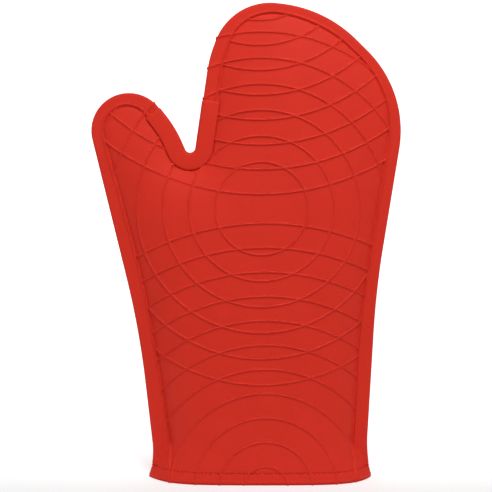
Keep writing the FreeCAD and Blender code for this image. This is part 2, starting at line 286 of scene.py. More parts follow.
def relax(points, faces, reach, target, hold):
    """The depth of a stretched skin: near target, but at the rim's depth where it is held."""
    doubled = np.maximum(abs(doubled_area(points[faces])), 1e-6)
    size = len(points)
    share = np.bincount(faces.ravel(), np.repeat(doubled / 6, 3), size)
    pull = (reach**2)[faces].mean(1)
    starts, ends, weights = [], [], []
    for k in range(3):
        i, j = faces[:, (k + 1) % 3], faces[:, (k + 2) % 3]
        here = points[faces[:, k]]
        u, v = points[i] - here, points[j] - here
        starts.append(i)
        ends.append(j)
        weights.append(pull * (u * v).sum(1) / (2 * doubled))
    i, j, w = np.concatenate(starts), np.concatenate(ends), np.concatenate(weights)
    diagonal = share * (1 + hold) + np.bincount(i, w, size) + np.bincount(j, w, size)
    wanted = share * (target + hold * RIM)

    def spread(depth):
        pulled = np.bincount(i, w * depth[j], size) + np.bincount(j, w * depth[i], size)
        return diagonal * depth - pulled

    depth = np.full(size, RIM)
    left = wanted - spread(depth)
    ready = left / diagonal
    way = ready.copy()
    strength = left @ ready
    goal = strength * SOLVE_SHARE
    for _ in range(SOLVE_TURNS):
        moved = spread(way)
        step = strength / (way @ moved)
        depth += step * way
        left -= step * moved
        ready = left / diagonal
        fresh = left @ ready
        if fresh < goal:
            break
        way = ready + way * fresh / strength
        strength = fresh
    return depth


def panel_target(points):
    """The depth that the middle of the palm tends to, with a soft skin's slight unevenness."""
    share = np.clip(points[:, 1] / HEIGHT, 0, 1)
    depth = DEPTH_CUFF + (DEPTH_TIP - DEPTH_CUFF) * share
    return depth + 0.4 * np.sin(points[:, 0] / 31 + 0.8) * np.sin(points[:, 1] / 43)


def skin_depth(points, faces, inset, length):
    """The skin's depth: held flat at the rim, then domed over a reach that grows up the mitt."""
    x, z = points.T
    reach = 8.0 + 10.0 * smooth(z / 60) + 2.0 * smooth((z - 120) / 80)
    reach += 5.0 * smooth((z - 150) / 90) * smooth((x + 40) / 40)
    foot = foot_inset(length, z)
    hold = RIM_HOLD * smooth((foot - inset) / 0.8)
    hold[inset < 0.05] = EDGE_HOLD
    return relax(points, faces, reach, panel_target(points), hold)


class DepthField:
    """The skin's smooth depth, worked out on a flat layout of triangles and read at any point."""

    def __init__(self, points, faces, inset, length):
        self.depth = skin_depth(points, faces, inset, length)
        lifted = [(x, d, z) for (x, z), d in zip(points, self.depth)]
        self.surface = BVHTree.FromPolygons(lifted, [tuple(map(int, f)) for f in faces])

    def at(self, points):
        found = []
        for x, z in points:
            hit = self.surface.ray_cast((x, -10, z), (0, 1, 0))[0]
            hit = hit or self.surface.find_nearest((x, RIM, z))[0]
            found.append(hit.y)
        return np.array(found)


# ---------------------------------------------------------------- skin layout

def cuff_row(height, step):
    """Evenly spaced points across the mitt at one low height, between its two edges."""
    low = 400  # points of EDGE on either side, which reach 100 mm up
    left = np.interp(height, EDGE[:low, 1], EDGE[:low, 0])
    right = np.interp(height, EDGE[::-1][:low, 1], EDGE[::-1][:low, 0])
    count = max(2, round((right - left) / step))
    xs = np.linspace(left, right, count + 1)
    return np.stack([xs, np.full(len(xs), height)], 1)


def thin(groups):
    """Joins groups of points in order, leaving out those too near to one from an earlier group."""
    kept = np.zeros((0, 2))
    for points, gap in groups:
        if len(kept):
            tree = tree_of(kept)
            far = [tree.find((x, z, 0))[2] > gap for x, z in points]
            points = points[np.array(far, bool)]
        kept = np.vstack([kept, points])
    return kept


def triangulate(fixed, links, ring_count, loose):
    """Triangles over all the points inside the ring that the first ring_count fixed points make."""
    points = np.vstack([fixed, loose])
    flat = [Vector(p) for p in points]
    found = delaunay_2d_cdt(flat, [tuple(map(int, e)) for e in links], [], 0, 1e-6, True)
    source = np.array([ids[0] for ids in found[3]])
    triangles = source[np.array(found[2])]
    # A triangle between three ring points is inside if they wind round it as the ring does.
    outside = doubled_area(points[np.sort(triangles, 1)]) > -1e-9
    return points, triangles[~((triangles.max(1) < ring_count) & outside)]


def spaced(start, end, step):
    return np.linspace(start, end, max(2, round((end - start) / step) + 1))


def edge_lengths(stops):
    """Places for corners along the edge, closer together round the crotch, through every stop."""
    places = []
    for begin, finish in zip(stops, stops[1:]):
        tight = begin < CROTCH_SPAN[1] and finish > CROTCH_SPAN[0]
        part = spaced(begin, finish, 0.45 if tight else 1.1)
        places.append(part[:-1])
    places.append([stops[-1]])
    return np.concatenate(places)


def fold_line(inset, step):
    """Points along the thumb's fold, between the line that inset(lengths) gives on either side."""
    left, right = fold_crossings(inset)
    places = np.array([left, right])
    ends = on_edge(places, inset(places))
    count = max(2, round(np.hypot(*(ends[1] - ends[0])) / step))
    share = np.arange(1, count)[:, None] / count
    return left, right, ends[0] + share * (ends[1] - ends[0])


def nearest_ids(lengths, places):
    return [int(np.argmin(abs(lengths - place))) for place in places]


def boundary(fixed_edge, cuff, fold, fold_ends):
    """The fixed points of a sheet and the links between them: edge, cuff row and thumb's fold,
    which joins the two edge points numbered in fold_ends."""
    fixed = np.vstack([fixed_edge, cuff, fold])
    n, m, k = len(fixed_edge), len(cuff), len(fold)
    ring = list(range(n + m))
    links = list(zip(ring, ring[1:] + ring[:1]))
    chain = [fold_ends[0], *range(n + m, n + m + k), fold_ends[1]]
    return fixed, links + list(zip(chain, chain[1:])), n + m


fold_left, fold_right, fold_inner = fold_line(np.zeros_like, 0.8)
outer_lengths = edge_lengths([0.0, fold_left, CROTCH_SPAN[0], fold_right, CROTCH_SPAN[1],
                              LENGTHS[-1]])
outer_edge = on_edge(outer_lengths)
cuff_line = cuff_row(0.0, 0.5)[1:-1][::-1]
fold_ids = nearest_ids(outer_lengths, (fold_left, fold_right))
skin_fixed, skin_links, skin_ring = boundary(outer_edge, cuff_line, fold_inner, fold_ids)


def fill_points(step, margin):
    """An even honeycomb of points inside the outline."""
    rows = []
    heights = np.arange(step, EDGE[:, 1].max(), step * math.sqrt(0.75))
    for i, height in enumerate(heights):
        xs = np.arange(EDGE[:, 0].min(), EDGE[:, 0].max(), step) + (i % 2) * step / 2
        rows.append(np.stack([xs, np.full(len(xs), height)], 1))
    points = np.vstack(rows)
    inset, _ = edge_place(points)
    return points[inset > margin]


def lay_out(groups):
    """Triangles over the skin's fixed points and groups of loose ones, and each point's place."""
    loose = thin([(skin_fixed, 0)] + groups)[len(skin_fixed):]
    points, faces = triangulate(skin_fixed, skin_links, skin_ring, loose)
    inset, length = edge_place(points)
    inset[:len(outer_edge)] = 0
    return points, faces, inset, length


inner_flat, inner_faces, inner_inset, inner_length = lay_out([(fill_points(3.5, 2.0), 1.8)])
rough = DepthField(inner_flat, inner_faces, inner_inset, inner_length)


# ---------------------------------------------------------------- relief

def to_pattern(points):
    """Where points of the skin lie on the flat drawing of the rib pattern."""
    spread = PATTERN_DISTANCE / (PATTERN_DISTANCE - rough.at(points))
    return PATTERN_CENTRE + (points - PATTERN_CENTRE) * spread[:, None]


def from_pattern(drawn):
    points = drawn
    for _ in range(3):
        shrink = 1 - rough.at(points) / PATTERN_DISTANCE
        points = PATTERN_CENTRE + (drawn - PATTERN_CENTRE) * shrink[:, None]
    return points


def rib_share(drawn, inset, length):
    """How much of a rib's full height stands at each point of the drawn pattern."""
    total = np.zeros(len(drawn))
    inside = smooth((inset - bead_inset(length) - 0.5) / 0.8)
    for family, (x, z, radius, step, count) in enumerate(RIB_FAMILIES):
        away = np.hypot(drawn[:, 0] - x, drawn[:, 1] - z)
        number = np.clip(np.round((away - radius) / step), 0, count - 1)
        ridge = bump((away - radius - step * number) / RIB_HALF)
        mask = inside
        if family == 0:
            for wrapped, place in WRAPPED_RIBS:
                mask = np.maximum(mask, (number == wrapped) & (abs(length - place) < 9))
        total += (ridge * mask) ** 4
    return total**0.25


def relief(points, inset, length):
    """How far the skin stands out from its smooth shape: ribs, bead, crease and cuff's lip."""
    rib = RIB_HEIGHT * rib_share(to_pattern(points), inset, length)
    line = bead_inset(length)
    bead = BEAD_HEIGHT * bump((inset - line) / BEAD_HALF)
    roll, groove = (most * bump((points[:, 1] - middle) / half)
                    for middle, half, most in (LIP_ROLL, LIP_GROOVE))
    ridges = (rib**4 + bead**4 + roll**4) ** 0.25
    crease = CREASE_DEEP * bump((inset - line - CREASE) / CREASE_HALF) * (1 - rib / RIB_HEIGHT)
    return ridges - crease - groove * smooth((inset - 1.0) / 6)


def rim_rows():
    """Rows of points along the flat rim and over the bead and its crease."""
    rows = [on_edge(outer_lengths, inset) for inset in (0.15, 0.5, 1.0, 1.6)]
    rows += [on_edge(outer_lengths[::2], inset) for inset in (3.2, 5.0)]
    for offset in (-1.0, -0.66, -0.33, 0, 0.33, 0.66, 1.0, 1.3, 1.6, 1.95, 2.3):
        rows.append(on_edge(outer_lengths, bead_inset(outer_lengths) + offset))
    points = np.vstack(rows)
    inset, _ = edge_place(points)
    return points[(points[:, 1] > 0.4) & (inset > 0.1)]


def rib_rows(x, z, radius, step, count):
    """Rows of points along and across every rib of a family."""
    rows = []
    for number in range(count):
        ring = radius + step * number
        angle = np.arange(0, 2 * math.pi, 1.2 / ring)
        ray = np.stack([np.cos(angle), np.sin(angle)], 1)
        for across in (-1, -0.66, -0.33, 0, 0.33, 0.66, 1):
            rows.append(np.array([x, z]) + (ring + across * RIB_HALF) * ray)
    drawn = np.vstack(rows)
    drawn = drawn[edge_place(drawn)[0] > 0.3]
    drawn = drawn[drawn[:, 1] > -9]
    points = from_pattern(drawn)
    inset, length = edge_place(points)
    stands = rib_share(drawn, inset, length) + (inset > bead_inset(length) + 0.8) > 0
    return points[(points[:, 1] > 0.4) & (inset > 0.3) & stands]


def hem_rows():
    """Rows of points over the cuff's lip, and along the stitching."""
    lip_heights = (0.12, 0.35, 0.7, 1.1, 1.5, 1.9, 2.3, 2.7, 3.1, 3.6)
    rows = [cuff_row(height, 0.7)[1:-1] for height in lip_heights]
    for offset in (-0.9, -0.6, -0.3, 0, 0.3, 0.6, 0.9):
        rows.append(cuff_row(STITCH_HEIGHT + offset, 0.45)[1:-1])
    return np.vstack(rows)


groups = [(rim_rows(), 0.12), (hem_rows(), 0.22)]
groups += [(rib_rows(*family), 0.3) for family in RIB_FAMILIES]
groups.append((fill_points(2.0, 1.5), 0.9))
skin_flat, skin_faces, skin_inset, skin_length = lay_out(groups)
field = DepthField(skin_flat, skin_faces, skin_inset, skin_length)


def vertex_normals(places, faces):
    corners = places[faces]
    facing = np.cross(corners[:, 1] - corners[:, 0], corners[:, 2] - corners[:, 0])
    total = np.stack([np.bincount(faces.ravel(), np.repeat(facing[:, k], 3), len(places))
                      for k in range(3)], 1)
    return total / np.maximum(np.linalg.norm(total, axis=1), 1e-12)[:, None]


def skin_normals(places):
    """Normals of one half's outer face. At the edge they point straight out, as the other
    half's do."""
    facing = vertex_normals(places, skin_faces)
    facing[skin_inset == 0, 1] = 0
    return facing / np.linalg.norm(facing, axis=1)[:, None]


def rim_round(inset):
    """The share of the rim's thickness left at its rounded edge."""
    return np.sqrt(1 - (1 - np.clip(inset / RIM_ROUND, 0, 1)) ** 2)


def stitch_path():
    """The line of hem stitching: its x, its depth and the length along it."""
    row = cuff_row(STITCH_HEIGHT, 0.25)
    deep = field.at(row) * rim_round(edge_place(row)[0])
    steps = np.hypot(np.diff(row[:, 0]), np.diff(deep))
    return row[:, 0], deep, np.append(0, np.cumsum(steps))


stitch_x, stitch_deep, stitch_along = stitch_path()
stitch_count = int(stitch_along[-1] / STITCH_PITCH)
stitch_start = (stitch_along[-1] - (stitch_count - 1) * STITCH_PITCH) / 2


def hem_relief(points):
    """The hem's stitching: needle holes between the stitches, in a shallow groove."""
    along = np.interp(points[:, 0], stitch_x, stitch_along) - stitch_start
    hole = abs((along / STITCH_PITCH) % 1 - 0.5) * STITCH_PITCH
    across = points[:, 1] - STITCH_HEIGHT
    groove = HEM_GROOVE[0] * np.exp(-(across / HEM_GROOVE[1]) ** 2)
    holes = HOLE_DEPTH * np.exp(-(across / HOLE_SIZE[1]) ** 2 - (hole / HOLE_SIZE[0]) ** 2)
    return -(groove + holes)


# The outer face: the domed skin, rounded at the rim and the cuff's lip, then raised by the relief.
lip = LIP_ROUND - np.sqrt(LIP_ROUND**2 - np.clip(LIP_ROUND - skin_flat[:, 1], 0, None) ** 2)
proud = field.depth * rim_round(skin_inset)
base = np.stack([skin_flat[:, 0], np.minimum(lip, LIP_SHARE * proud) - proud, skin_flat[:, 1]], 1)
base[skin_inset == 0, 1] = 0
lift = relief(skin_flat, skin_inset, skin_length)
near_hem = abs(skin_flat[:, 1] - STITCH_HEIGHT) < 3
lift[near_hem] += hem_relief(skin_flat[near_hem])
skin = base + skin_normals(base) * lift[:, None]
skin[skin_inset == 0, 1] = 0
skin[skin_flat[:, 1] < 1e-6, 2] = 0
skin_facing = skin_normals(skin)

# The inner face of each half, on fewer points: flat where the halves are bonded, then hollow.
rise = smooth((inner_inset - foot_inset(inner_length, inner_flat[:, 1])) / 3)
hollow = np.maximum(rough.depth - SLANT * WALL, 0) * rise
hollow[:len(outer_edge)] = 0
inner = np.stack([inner_flat[:, 0], -hollow, inner_flat[:, 1]], 1)


# ---------------------------------------------------------------- meshes

def make_mesh(name, places, faces, normals=None, flat_from=None):
    """A named object in metres from places in millimetres. Faces from number flat_from on are
    shaded flat, and so keep sharp edges."""
    fans = [(f[0], a, b) for f in faces for a, b in zip(f[1:], f[2:])]
    first, second, third = (places[[fan[k] for fan in fans]] for k in range(3))
    if (first * np.cross(second, third)).sum() < 0:
        faces = [f[::-1] for f in faces]
        normals = None if normals is None else -normals
    mesh = bpy.data.meshes.new(name)
    mesh.from_pydata((places * MM).tolist(), [], [tuple(map(int, f)) for f in faces])
    mesh.polygons.foreach_set("use_smooth", [True] * len(mesh.polygons))
    if normals is not None:
        corner = np.zeros(len(mesh.loops), int)
        mesh.loops.foreach_get("vertex_index", corner)
        directions = normals[corner]
        if flat_from is not None:
            for polygon in list(mesh.polygons)[flat_from:]:
                for loop in polygon.loop_indices:
                    directions[loop] = polygon.normal
        mesh.normals_split_custom_set(directions.tolist())
    mesh.update()
    shape = bpy.data.objects.new(name, mesh)
    bpy.context.scene.collection.objects.link(shape)
    return shape


def open_sides(triangles):
    """The sides, in the direction their triangle runs, that no second triangle shares."""
    sides = np.vstack([triangles[:, [0, 1]], triangles[:, [1, 2]], triangles[:, [2, 0]]]).tolist()
    directed = set(map(tuple, sides))
    return [(a, b) for a, b in sides if (b, a) not in directed]


def renumbered(faces, used, size):
    """The faces with their corners numbered as places in used, out of size places."""
    number = np.full(size, -1)
    number[used] = np.arange(len(used))
    return [[int(number[v]) for v in face] for face in faces]


def half_skin(name, keep_thumb, side):
    """One half of the silicone skin, without or with only the thumb, as a closed mesh."""
    part = on_thumb(skin_flat[skin_faces].mean(1)) == keep_thumb
    inner_part = on_thumb(inner_flat[inner_faces].mean(1)) == keep_thumb
    over, under = skin_faces[part], inner_faces[inner_part]
    size = len(skin)
    place = np.arange(len(inner)) + size
    place[:len(outer_edge)] = np.arange(len(outer_edge))
    walls = []
    for a, b in open_sides(over):
        ring = [b, a, int(place[a]), int(place[b])]
        ring = [v for i, v in enumerate(ring) if v not in ring[:i]]
        if len(ring) > 2:
            walls.append(ring)
    faces = over.tolist() + place[under][:, ::-1].tolist() + walls
    smooth_count = len(over) + len(under)
    places = np.vstack([skin, inner])
    inside = -vertex_normals(inner, inner_faces)
    normals = np.vstack([skin_facing, inside])
    mirror = np.array([1, side, 1])
    places, normals = places * mirror, normals * mirror
    used = np.unique(np.concatenate([np.ravel(over), place[np.ravel(under)]]))
    faces = [face[::side] for face in renumbered(faces, used, len(places))]
    return make_mesh(name, places[used], faces, normals[used], smooth_count)


def bend_fingers(shape):
    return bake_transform(shape)


def bend_thumb(shape):
    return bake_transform(shape)


# ---------------------------------------------------------------- materials

def new_material(name):
    """A new material with its nodes, links, shader and the piece's own coordinates in metres."""
    material = bpy.data.materials.new(name)
    material.use_nodes = True
    nodes, links = material.node_tree.nodes, material.node_tree.links
    shader = nodes["Principled BSDF"]
    coordinates = nodes.new("ShaderNodeTexCoord")
    return material, nodes, links, shader, coordinates.outputs["Object"]


def noise(nodes, links, where, scale, detail):
    texture = nodes.new("ShaderNodeTexNoise")
    texture.inputs["Scale"].default_value = scale
    texture.inputs["Detail"].default_value = detail
    links.new(where, texture.inputs["Vector"])
    return texture.outputs["Fac"]


def between(nodes, links, share, low, high):
    """A colour from low to high by share."""
    mix = nodes.new("ShaderNodeMix")
    mix.data_type = "RGBA"
    links.new(share, mix.inputs["Factor"])
    mix.inputs["A"].default_value = (*low, 1)
    mix.inputs["B"].default_value = (*high, 1)
    return mix.outputs["Result"]


def ranged(nodes, links, share, low, high):
    """A number from low to high by share."""
    spread = nodes.new("ShaderNodeMapRange")
    links.new(share, spread.inputs["Value"])
    spread.inputs["To Min"].default_value = low
    spread.inputs["To Max"].default_value = high
    return spread.outputs["Result"]


def raised(nodes, links, shader, height, strength, distance):
    node = nodes.new("ShaderNodeBump")
    node.inputs["Strength"].default_value = strength
    node.inputs["Distance"].default_value = distance
    links.new(height, node.inputs["Height"])
    links.new(node.outputs["Normal"], shader.inputs["Normal"])


def silicone(name, low, high):
    """Moulded silicone: even colour, a satin face with a fine matt grain."""
    material, nodes, links, shader, where = new_material(name)
    patches = noise(nodes, links, where, 45, 3)
    links.new(between(nodes, links, patches, low, high), shader.inputs["Base Color"])
    grain = noise(nodes, links, where, 1200, 3)
    links.new(ranged(nodes, links, grain, 0.50, 0.66), shader.inputs["Roughness"])
    raised(nodes, links, shader, grain, 0.5, 0.00025)
    shader.inputs["IOR"].default_value = 1.41
    shader.inputs["Specular IOR Level"].default_value = 0.12
    return material


WAVE_TURN = 6.28  # sets the wave texture's bands about a thread apart


def cloth(name, low, high, pitch):
    """Plain woven cotton: crossing threads at the pitch, in metres."""
    material, nodes, links, shader, where = new_material(name)
    weave = None
    for direction in ("X", "Z"):
        threads = nodes.new("ShaderNodeTexWave")
        threads.bands_direction = direction
        threads.inputs["Scale"].default_value = 1 / (pitch * WAVE_TURN)
        threads.inputs["Distortion"].default_value = 0.6
        threads.inputs["Detail"].default_value = 1
        links.new(where, threads.inputs["Vector"])
        if weave is None:
            weave = threads.outputs["Fac"]
        else:
            join = nodes.new("ShaderNodeMath")
            join.operation = "MULTIPLY"
            links.new(weave, join.inputs[0])
            links.new(threads.outputs["Fac"], join.inputs[1])
            weave = join.outputs["Value"]
    links.new(between(nodes, links, weave, low, high), shader.inputs["Base Color"])
    raised(nodes, links, shader, weave, 0.5, 0.0003)
    shader.inputs["Roughness"].default_value = 0.9
    shader.inputs["Specular IOR Level"].default_value = 0.15
    return material


def fleece(name, low, high):
    """Cotton batting: matt, with matted fibres."""
    material, nodes, links, shader, where = new_material(name)
    fibres = noise(nodes, links, where, 700, 6)
    links.new(between(nodes, links, fibres, low, high), shader.inputs["Base Color"])
    raised(nodes, links, shader, fibres, 0.8, 0.001)
    shader.inputs["Roughness"].default_value = 0.95
    return material


RED = silicone("silicone", (0.62, 0.027, 0.0145), (0.68, 0.032, 0.017))
GUARD = silicone("guard", (0.63, 0.028, 0.0145), (0.68, 0.032, 0.0165))
THREAD = cloth("thread", (0.58, 0.022, 0.012), (0.68, 0.030, 0.015), 0.00025)
LINING = cloth("lining", (0.40, 0.020, 0.012), (0.52, 0.032, 0.019), 0.0006)
TAPE = cloth("tape", (0.42, 0.02, 0.012), (0.55, 0.03, 0.02), 0.0004)
WADDING = fleece("wadding", (0.72, 0.72, 0.70), (0.88, 0.88, 0.86))


def dress(shape, material):
    shape.data.materials.append(material)


# ---------------------------------------------------------------- silicone pieces

for half, side in HALVES:
    hand_skin = half_skin(half + "_skin", False, side)
    dress(hand_skin, RED)
    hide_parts(half + "_shell_hand", half + "_shell_fingers")
    bend_fingers(hand_skin)
    thumb_skin = half_skin(half + "_thumb_skin", True, side)
    dress(thumb_skin, RED)
    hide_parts(half + "_shell_thumb")
    bend_thumb(thumb_skin)


def belt(low, high, count):
    """The faces between two rings of count points, numbered from low and from high."""
    ahead = [(k + 1) % count for k in range(count)]
    return [[low + k, low + j, high + j, high + k] for k, j in enumerate(ahead)]


def strip_faces(rings, count):
    """The faces of a closed strip: between its rings of count points, and across both ends."""
    faces = []
    for i in range(rings - 1):
        faces += belt(i * count, (i + 1) * count, count)
    last = (rings - 1) * count
    return faces + [list(range(count))[::-1], [last + k for k in range(count)]]


def sweep(lengths, sections):
    """A closed strip along the edge. Each section is a ring of (inset, depth) points."""
    rings = []
    for place, section in zip(lengths, sections):
        start, way = on_edge([place])[0], inward_at([place])[0]
        flat = start + section[:, :1] * way
        rings.append(np.stack([flat[:, 0], section[:, 1], flat[:, 1]], 1))
    return np.vstack(rings), strip_faces(len(rings), len(sections[0]))


def guard_section(shrink):
    """The guard's ring of points: over the rim from the palm's side round to the back's."""
    reach = GUARD_REACH - 1.2 * shrink
    high = RIM + GUARD_THICK * (1 - 0.6 * shrink)
    lap = GUARD_LAP * (1 - 0.7 * shrink)
    soft, chamfer = GUARD_SOFT, 0.3 * GUARD_SOFT
    half = [(reach, 1.9), (reach, high - soft), (reach - chamfer, high - chamfer),
            (reach - soft, high)]
    half += [(inset, high + 0.15) for inset in (9.0, 6.5, 4.0)]
    turn = np.linspace(0, math.pi / 2, 7)
    half += [(1.6 - (1.6 + lap) * math.sin(a), 0.5 + (high - 0.5) * math.cos(a)) for a in turn]
    outside = [(i, -d) for i, d in half] + [(i, d) for i, d in half[::-1]]
    inside = [(9.0, 0.6), (4.0, 0.6), (2.0, 0.0), (4.0, -0.6), (9.0, -0.6)]
    return np.array(outside + inside)


def guard_parts():
    """The crotch guard's thumb part and fingers' part, shaded as one, and their rings' size."""
    thumb_side = np.linspace(GUARD_SPAN[0], fold_right, 80)
    finger_side = np.linspace(fold_right, GUARD_SPAN[1], 90)
    lengths = np.append(thumb_side[:-1], finger_side)
    away = np.minimum(lengths - lengths[0], lengths[-1] - lengths)
    shrink = 1 - np.sqrt(1 - (1 - np.clip(away / GUARD_END, 0, 1)) ** 2)
    sections = [guard_section(s) for s in shrink]
    places, faces = sweep(lengths, sections)
    quads = np.array(faces[:-2])
    halves = np.vstack([quads[:, [0, 1, 2]], quads[:, [0, 2, 3]]])
    normals = vertex_normals(places, halves)
    ring = len(sections[0])
    cut = (len(thumb_side) - 1) * ring
    return ((places[:cut + ring], normals[:cut + ring]), (places[cut:], normals[cut:])), ring


(guard_near, guard_far), guard_ring = guard_parts()
for name, (places, normals), nodes, bend in (
        ("crotch_guard_thumb_skin", guard_near, ["crotch_guard_thumb"], bend_thumb),
        ("crotch_guard_skin", guard_far, ["crotch_guard_hand", "crotch_guard_fingers"],
         bend_fingers)):
    faces = strip_faces(len(places) // guard_ring, guard_ring)
    guard = make_mesh(name, places, faces, normals, len(faces) - 2)
    dress(guard, GUARD)
    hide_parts(*nodes)
    bend(guard)


# ---------------------------------------------------------------- hem stitches

def stitch_row(name, side):
    """Thread stitches lying in the hem's groove, evenly spaced along the surface."""
    around = np.arange(THREAD_SIDES) * math.pi / 4
    rings = [(-1, 0.25), (-0.9, 0.7), (-0.7, 1), (0.7, 1), (0.9, 0.7), (1, 0.25)]
    upward = np.array([0, 0, 1])
    places, faces = [], []
    for number in range(stitch_count):
        middle = stitch_start + number * STITCH_PITCH
        x = np.interp(middle, stitch_along, stitch_x)
        deep = np.interp(middle, stitch_along, stitch_deep)
        near = middle + np.array([-0.8, 0.8])
        run = np.diff(np.interp(near, stitch_along, stitch_x))[0]
        rise = np.diff(np.interp(near, stitch_along, stitch_deep))[0]
        along = np.array([run, -rise, 0]) / math.hypot(run, rise)
        out = np.array([along[1], -along[0], 0])
        centre = np.array([x, -deep, STITCH_HEIGHT]) + out * (THREAD_RADIUS - STITCH_SUNK)
        begin = len(places)
        for share, width in rings:
            for angle in around:
                ray = math.cos(angle) * out + math.sin(angle) * upward
                offset = width * THREAD_RADIUS * ray
                bow = STITCH_BOW * (1 - share**2)
                places.append(centre + share * STITCH_LENGTH / 2 * along + offset + bow * out)
        faces += [[v + begin for v in face] for face in strip_faces(len(rings), THREAD_SIDES)]
    return make_mesh(name, np.array(places) * np.array([1, side, 1]), faces)


for half, side in HALVES:
    row = stitch_row(half + "_hem_stitches", side)
    dress(row, THREAD)
    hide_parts(half + "_stitches")
    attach(row, "hand")


# ---------------------------------------------------------------- soft layers

def lining_inset(lengths):
    """How far in from the edge the linings' seam runs."""
    heights = on_edge(lengths)[:, 1]
    share = smooth(heights / OPEN_HEIGHT)
    return foot_inset(lengths, heights) + SEAM_INSET[0] + SEAM_INSET[1] * share


def layer_sheet(margin, foot, step):
    """The flat layout of a soft layer, with how far each point is in from its edge. The edge is
    the linings' seam moved in by margin, and its lower end is straight, at the height foot."""
    def line(lengths):
        return lining_inset(lengths) + margin

    left, right, fold = fold_line(line, 3.0)
    lengths = np.concatenate([spaced(0, left, 3)[:-1], spaced(left, right, 2.5)[:-1],
                              spaced(right, LENGTHS[-1], 3)])
    edge = on_edge(lengths, line(lengths))
    above = edge[:, 1] > foot + 1.5
    ids = [int(above[:i].sum()) + 1 for i in nearest_ids(lengths, (left, right))]
    edge = edge[above]
    first = edge[0] + (edge[0] - edge[1]) * (edge[0, 1] - foot) / (edge[1, 1] - edge[0, 1])
    last = edge[-1] + (edge[-1] - edge[-2]) * (edge[-1, 1] - foot) / (edge[-2, 1] - edge[-1, 1])
    edge = np.vstack([first, edge, last])
    count = round((last[0] - first[0]) / 3)
    share = np.arange(1, count)[:, None] / count
    cuff = last + share * (first - last)
    fixed, links, ring = boundary(edge, cuff, fold, ids)
    inside = fill_points(step, 6.0)
    inset, length = edge_place(inside)
    inside = inside[(inset > line(length) + 1.0) & (inside[:, 1] > foot + 1.5)]
    rows = np.vstack([on_edge(lengths, line(lengths) + more) for more in (0.5, 1.2, 2.2, 3.6)])
    inset, length = edge_place(rows)
    near_cuff = (rows[:, 1] > foot + 1.5) & (rows[:, 1] < ROLL_ROWS_TOP)
    rows = rows[(inset > line(length) + 0.3) & near_cuff]
    loose = thin([(fixed, 0), (rows, 0.4), (inside, 0.55 * step)])[len(fixed):]
    points, faces = triangulate(fixed, links, ring, loose)
    inset, length = edge_place(points)
    return points, faces, inset - line(length)


def quilt(points):
    """The puff of diamond quilting: 0 along the stitched lines and 1 in each diamond's middle."""
    first = np.sin(math.pi * (points[:, 0] + points[:, 1]) / QUILT_PITCH)
    second = np.sin(math.pi * (points[:, 0] - points[:, 1]) / QUILT_PITCH)
    return np.sqrt(abs(first * second) + 0.01) - 0.1


def layer(name, sheet, outside, inside, keep_thumb, side):
    """A closed soft layer between two depths, over the thumb's share of the sheet or the rest."""
    points, faces, _ = sheet
    part = faces[on_thumb(points[faces].mean(1)) == keep_thumb]
    size = len(points)
    over = np.stack([points[:, 0], -outside, points[:, 1]], 1)
    under = np.stack([points[:, 0], -inside, points[:, 1]], 1)
    walls = [[b, a, a + size, b + size] for a, b in open_sides(part)]
    whole = part.tolist() + (part[:, ::-1] + size).tolist() + walls
    places = np.vstack([over, under]) * np.array([1, side, 1])
    used = np.unique([part, part + size])
    return make_mesh(name, places[used], renumbered(whole, used, len(places)))


def lining_offset(heights):
    """How far inside the skin the lining lies: close at the stitched hem, then behind the
    wadding."""
    return LINING_HEM + (LINING_OUT - LINING_HEM) * smooth((heights - 9) / 12)


def lining_face(points, into):
    """The depth of the lining's outer face, where into is how far a point is in from its seam."""
    heights = points[:, 1]
    puff = quilt(points) * smooth((heights - 20) / 10) * smooth(into / 8)
    room = np.maximum(field.at(points) - SLANT * lining_offset(heights) - 1.2 * puff, 1.3)
    return 1.0 + (room - 1.0) * rolled(into)


def rolled(into):
    """How a layer turns in towards its seam: 0 at the seam, 1 from LINING_ROLL on."""
    return np.sqrt(1 - (1 - np.clip(into / LINING_ROLL, 0, 1)) ** 2)


lining_sheet = layer_sheet(0.0, 2.5, 3.0)
lining_points, _, lining_into = lining_sheet
lining_outside = lining_face(lining_points, lining_into)
lining_inside = lining_outside - LINING_THICK

wadding_sheet = layer_sheet(-WADDING_PAST, 13.0, 4.0)
wadding_points, _, wadding_into = wadding_sheet
wadding_room = np.maximum(field.at(wadding_points) - SLANT * WADDING_OUT, 1.2)
wadding_inner = lining_face(wadding_points, wadding_into - WADDING_PAST) + 0.15
wadding_inner = np.minimum(wadding_inner, wadding_room - 0.2)
thick = np.minimum(wadding_room - wadding_inner, WADDING_PUFF) * (0.3 + 0.7 * rolled(wadding_into))
wadding_outer = wadding_inner + thick

layers = (("lining", lining_sheet, lining_outside, lining_inside, LINING),
          ("wadding", wadding_sheet, wadding_outer, wadding_inner, WADDING))
for half, side in HALVES:
    for kind, sheet, outside, inside, material in layers:
        main = layer(f"{half}_{kind}_cloth", sheet, outside, inside, False, side)
        dress(main, material)
        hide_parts(f"{half}_{kind}_hand", f"{half}_{kind}_fingers")
        bend_fingers(main)
        small = layer(f"{half}_{kind}_thumb_cloth", sheet, outside, inside, True, side)
        dress(small, material)
        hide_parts(f"{half}_{kind}_thumb")
        bend_thumb(small)


# ---------------------------------------------------------------- tapes

def tape_line(lengths):
    return lining_inset(lengths) + TAPE_INSET


